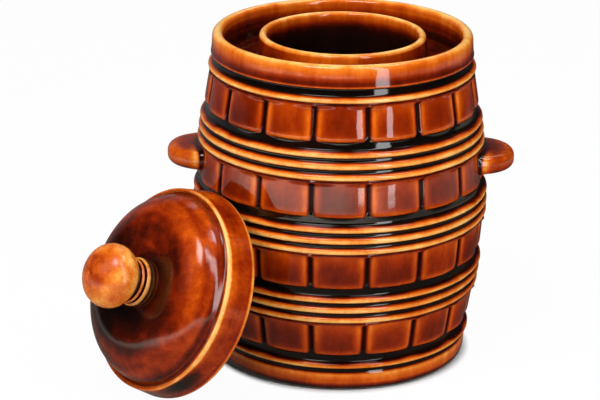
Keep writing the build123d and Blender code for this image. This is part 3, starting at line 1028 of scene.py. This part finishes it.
def make_floor():
    """Floor that is white to the camera, but for the shadow under the foot, and matt to the lamps."""
    size = floor_half_size
    corners = [(-size, -size, 0), (size, -size, 0), (size, size, 0), (-size, size, 0)]
    floor = mesh_object("floor", corners, [(0, 1, 2, 3)], {}, False)
    material, nodes, links = new_material("white_floor")
    output = nodes.new("ShaderNodeOutputMaterial")
    coordinates = nodes.new("ShaderNodeTexCoord").outputs["Object"]
    path = nodes.new("ShaderNodeLightPath")
    distance = vector_value(nodes, links, "LENGTH", coordinates)
    white = nodes.new("ShaderNodeEmission")
    white.inputs["Color"].default_value = (1, 1, 1, 1)
    paint = nodes.new("ShaderNodeBsdfDiffuse")
    paint.inputs["Color"].default_value = floor_paint
    clear = map_range(nodes, links, distance, contact_shadow_reach, (0.0, floor_white_share))
    seen = mix_shaders(nodes, links, clear, paint.outputs[0], white.outputs[0])
    shown = mix_shaders(nodes, links, path.outputs["Is Camera Ray"], paint.outputs[0], seen)
    mirrored = mirrored_floor(nodes, links, coordinates, distance)
    surface = mix_shaders(nodes, links, mirrored_share(nodes, links, path), shown, mirrored)
    links.new(surface, output.inputs["Surface"])
    floor.data.materials.append(material)


def make_world():
    """World that is white to the camera, an even room to matt paint and a dim backdrop to the glaze."""
    world = bpy.data.worlds.new("studio")
    bpy.context.scene.world = world
    world.use_nodes = True
    nodes, links = world.node_tree.nodes, world.node_tree.links
    nodes.clear()
    output = nodes.new("ShaderNodeOutputWorld")
    room = nodes.new("ShaderNodeBackground")
    room.inputs["Color"].default_value = room_colour
    room.inputs["Strength"].default_value = room_strength
    white = nodes.new("ShaderNodeBackground")
    white.inputs["Color"].default_value = (1, 1, 1, 1)
    direction = nodes.new("ShaderNodeTexCoord").outputs["Generated"]
    behind = vector_value(nodes, links, "DOT_PRODUCT", direction, backdrop_direction)
    mirrored = nodes.new("ShaderNodeBackground")
    links.new(map_range(nodes, links, behind, (0.80, 1.0), (0.02, 0.3)), mirrored.inputs["Strength"])
    path = nodes.new("ShaderNodeLightPath")
    shown = mix_shaders(nodes, links, path.outputs["Is Camera Ray"], room.outputs[0], white.outputs[0])
    surface = mix_shaders(nodes, links, mirrored_share(nodes, links, path), shown, mirrored.outputs[0])
    links.new(surface, output.inputs["Surface"])


def fade_edges(light, fade):
    """Lamp face that fades to black over a share of its width and of its height at every edge."""
    light.use_nodes = True
    nodes, links = light.node_tree.nodes, light.node_tree.links
    emission = next(node for node in nodes if node.type == "EMISSION")
    axes = nodes.new("ShaderNodeSeparateXYZ")
    links.new(nodes.new("ShaderNodeNewGeometry").outputs["Parametric"], axes.inputs[0])
    edges = []
    for axis, share in zip(("X", "Y"), fade):
        centred = math_node(nodes, links, "SUBTRACT", axes.outputs[axis], 0.5)
        distance = math_node(nodes, links, "ABSOLUTE", centred, 0.0)
        edges.append(map_range(nodes, links, distance, (0.5, 0.5 - share), interpolation="SMOOTHSTEP"))
    links.new(math_node(nodes, links, "MULTIPLY", *edges), emission.inputs["Strength"])


def softbox(name, azimuth, elevation, distance, size, power, fade, target=(0, 0, 0.12)):
    """Rectangular lamp on a sphere round a point. Azimuth 0 is the viewer's side, 90 the right."""
    light = bpy.data.lights.new(name, "AREA")
    light.shape = "RECTANGLE"
    light.size, light.size_y = size
    light.energy = power
    fade_edges(light, fade)
    lamp = bpy.data.objects.new(name, light)
    bpy.context.scene.collection.objects.link(lamp)
    turn, rise = radians(azimuth), radians(elevation)
    back = Vector((sin(turn) * cos(rise), -cos(turn) * cos(rise), sin(rise)))
    lamp.location = Vector(target) + back * distance
    lamp.rotation_mode = "QUATERNION"
    lamp.rotation_quaternion = back.to_track_quat("Z", "Y")
    lamp.visible_camera = False
    return lamp


def make_lights():
    """Softboxes overhead and behind, a wide key at the left and a standing strip at the right."""
    softbox("over_left", -27, 62, 1.4, (0.66, 0.66), 15, (0.3, 0.3))
    softbox("over_right", 27, 62, 1.4, (0.34, 0.50), 3.5, (0.3, 0.3))
    softbox("over_back", 100, 68, 1.5, (0.50, 0.45), 6, (0.3, 0.3))
    key = softbox("key_left", -58, 34, 1.5, (1.0, 0.9), 31, (0.45, 0.45))
    key.visible_glossy = False
    softbox("behind", 168, 44, 1.5, (1.1, 0.6), 5, (0.4, 0.4))
    softbox("strip_right", 32.4, 0, 0.70, (0.150, 1.28), 4.2, (0.12, 0.03), (0, 0, 0.655))


def make_camera():
    """Camera at the photograph's viewing angle, in front of the crock and above it."""
    distance, height = 1.7105, 0.7223
    pitch, yaw, roll = radians(19.566), radians(-1.010), radians(0.6284)
    forward = Vector((sin(yaw) * cos(pitch), cos(yaw) * cos(pitch), -sin(pitch)))
    right = Vector((cos(yaw), -sin(yaw), 0))
    up = right.cross(forward)
    right_rolled = cos(roll) * right + sin(roll) * up
    up_rolled = cos(roll) * up - sin(roll) * right
    data = bpy.data.cameras.new("camera")
    data.lens = 144
    data.sensor_width = 36
    data.clip_start = 0.05
    data.clip_end = 30
    camera = bpy.data.objects.new("camera", data)
    bpy.context.scene.collection.objects.link(camera)
    turn = Matrix((right_rolled, up_rolled, -forward)).transposed().to_4x4()
    camera.matrix_world = Matrix.Translation((0, -distance, height)) @ turn
    bpy.context.scene.camera = camera


glaze = glaze_material("brown_glaze_look", 1.0, (1, 1, 0.45), 0.06)
lid_glaze = glaze_material("brown_glaze_mottled_look", 1.6, (1, 1, 1), 0.12)
knob_glaze = glaze_material("brown_glaze_brushed_look", 1.6, (1, 1, 1), 0.24)
stoneware = stoneware_material()

crock_piece = make_crock()
crock_piece.data.materials.append(glaze)
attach(crock_piece, "crock")
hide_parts("crock")

for side, name in ((-1, "lug_handle_left"), (1, "lug_handle_right")):
    lug = make_lug(side, name)
    lug.data.materials.append(lid_glaze)
    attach(lug, "crock")
    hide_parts(name)

place = lid_place()
lid_piece = make_lid(place)
lid_piece.data.materials.append(lid_glaze)
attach(lid_piece, "lid")
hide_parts("lid")

knob_piece = make_knob(place)
knob_piece.data.materials.append(knob_glaze)
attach(knob_piece, "lid")
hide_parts("lid_knob")

for name in ("weight_stone_left", "weight_stone_right"):
    stone = frame["nodes"][name]
    stone.data.materials.clear()
    stone.data.materials.append(stoneware)

make_floor()
make_world()
make_lights()
make_camera()
bpy.context.scene.view_settings.view_transform = "Standard"
